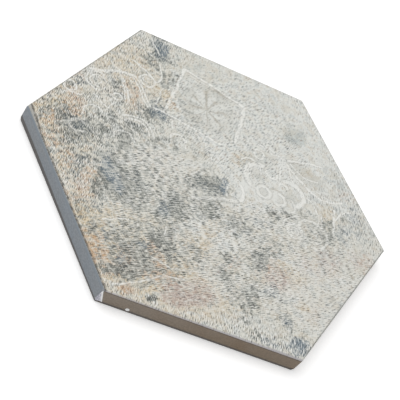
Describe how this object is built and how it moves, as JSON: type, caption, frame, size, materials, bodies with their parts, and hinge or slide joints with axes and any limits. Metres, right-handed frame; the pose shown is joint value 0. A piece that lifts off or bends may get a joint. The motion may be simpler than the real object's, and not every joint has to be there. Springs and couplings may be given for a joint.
{
  "type": "hexagon floor tile",
  "caption": "Flat regular hexagon of fired porcelain with a cushioned printed face, plain sides, a drawn-in heel and a honeycomb of keying pockets in its back.",
  "frame": {"origin": "centre of the back, on the surface that the tile lies on", "axes": "+Z out of the glazed face; +X through two opposite corners; +Y square to two opposite sides"},
  "size_m": [0.2016, 0.175, 0.01],
  "materials": {
    "glazed_porcelain": "matt printed glaze on the face, bare fired clay on the sides and the back"
  },
  "bodies": {
    "root": {"hexagon_tile": "glazed_porcelain"}
  },
  "joints": []
}
